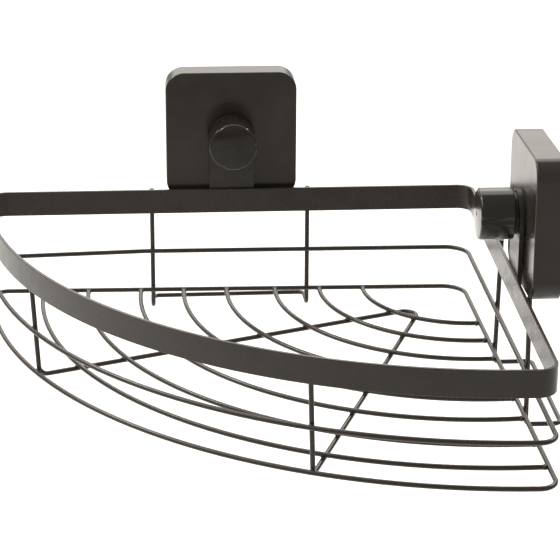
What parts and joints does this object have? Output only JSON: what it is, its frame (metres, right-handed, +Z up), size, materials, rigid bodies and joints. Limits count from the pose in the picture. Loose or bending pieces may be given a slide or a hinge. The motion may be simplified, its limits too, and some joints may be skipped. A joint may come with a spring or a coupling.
{
  "type": "corner shower caddy",
  "caption": "Quarter-round wire corner basket for a shower, hung on two wall suction mounts that are drawn tight by screw knobs.",
  "frame": {"origin": "where the rear mount's stud axis meets the plane of the back wall", "axes": "+X right, +Y towards the back wall, +Z up; the right wall's normal is +X"},
  "size_m": [0.2673, 0.2623, 0.1267],
  "materials": {
    "coated_strip": "semi-gloss bronze-black coat",
    "coated_wire": "semi-gloss bronze-black coat",
    "cover_plastic": "satin",
    "knob_plastic": "gloss",
    "washer_plastic": "matte black",
    "spacer_rubber": "smooth",
    "pad_rubber": "smooth soft",
    "stud_steel": "zinc plated",
    "insert_brass": "turned"
  },
  "bodies": {
    "basket": {"rim_band": "coated_strip", "middle_ring": "coated_wire", "bottom_ring": "coated_wire", "floor_arc_1": "coated_wire", "floor_arc_2": "coated_wire", "floor_arc_3": "coated_wire", "floor_arc_4": "coated_wire", "floor_arc_5": "coated_wire", "floor_arc_6": "coated_wire", "floor_arc_7": "coated_wire", "floor_arc_8": "coated_wire", "floor_rail": "coated_wire", "rear_stay": "coated_wire", "right_stay": "coated_wire", "rear_strap": "coated_strip", "right_strap": "coated_strip"},
    "rear_cup": {"rear_cover": "cover_plastic", "rear_suction_pad": "pad_rubber", "rear_spacer": "spacer_rubber"},
    "rear_stud": {"rear_stud": "stud_steel"},
    "rear_knob": {"rear_knob": "knob_plastic", "rear_knob_insert": "insert_brass", "rear_knob_washer": "washer_plastic"},
    "right_cup": {"right_cover": "cover_plastic", "right_suction_pad": "pad_rubber", "right_spacer": "spacer_rubber"},
    "right_stud": {"right_stud": "stud_steel"},
    "right_knob": {"right_knob": "knob_plastic", "right_knob_insert": "insert_brass", "right_knob_washer": "washer_plastic"}
  },
  "joints": [
    {"name": "rear_cup_swivel", "type": "hinge", "parent": "basket", "child": "rear_cup", "pos_m": [0, -0.0198, 0], "axis": [0, 1, 0], "continuous": true},
    {"name": "rear_knob_turn", "type": "hinge", "parent": "rear_cup", "child": "rear_knob", "pos_m": [0, -0.0198, 0], "axis": [0, -1, 0], "range_deg": [0, 900]},
    {"name": "rear_stud_slide", "type": "slide", "parent": "rear_cup", "child": "rear_stud", "axis": [0, 1, 0], "range_m": [0, 0.0025]},
    {"name": "right_cup_swivel", "type": "hinge", "parent": "basket", "child": "right_cup", "pos_m": [0.1235, -0.1433, 0], "axis": [1, 0, 0], "continuous": true},
    {"name": "right_knob_turn", "type": "hinge", "parent": "right_cup", "child": "right_knob", "pos_m": [0.1235, -0.1433, 0], "axis": [-1, 0, 0], "range_deg": [0, 900]},
    {"name": "right_stud_slide", "type": "slide", "parent": "right_cup", "child": "right_stud", "axis": [1, 0, 0], "range_m": [0, 0.0025]}
  ],
  "couplings": [
    {"joint": "rear_stud_slide", "follows": "rear_knob_turn", "m_per_rad": 0.00015915},
    {"joint": "right_stud_slide", "follows": "right_knob_turn", "m_per_rad": 0.00015915}
  ]
}
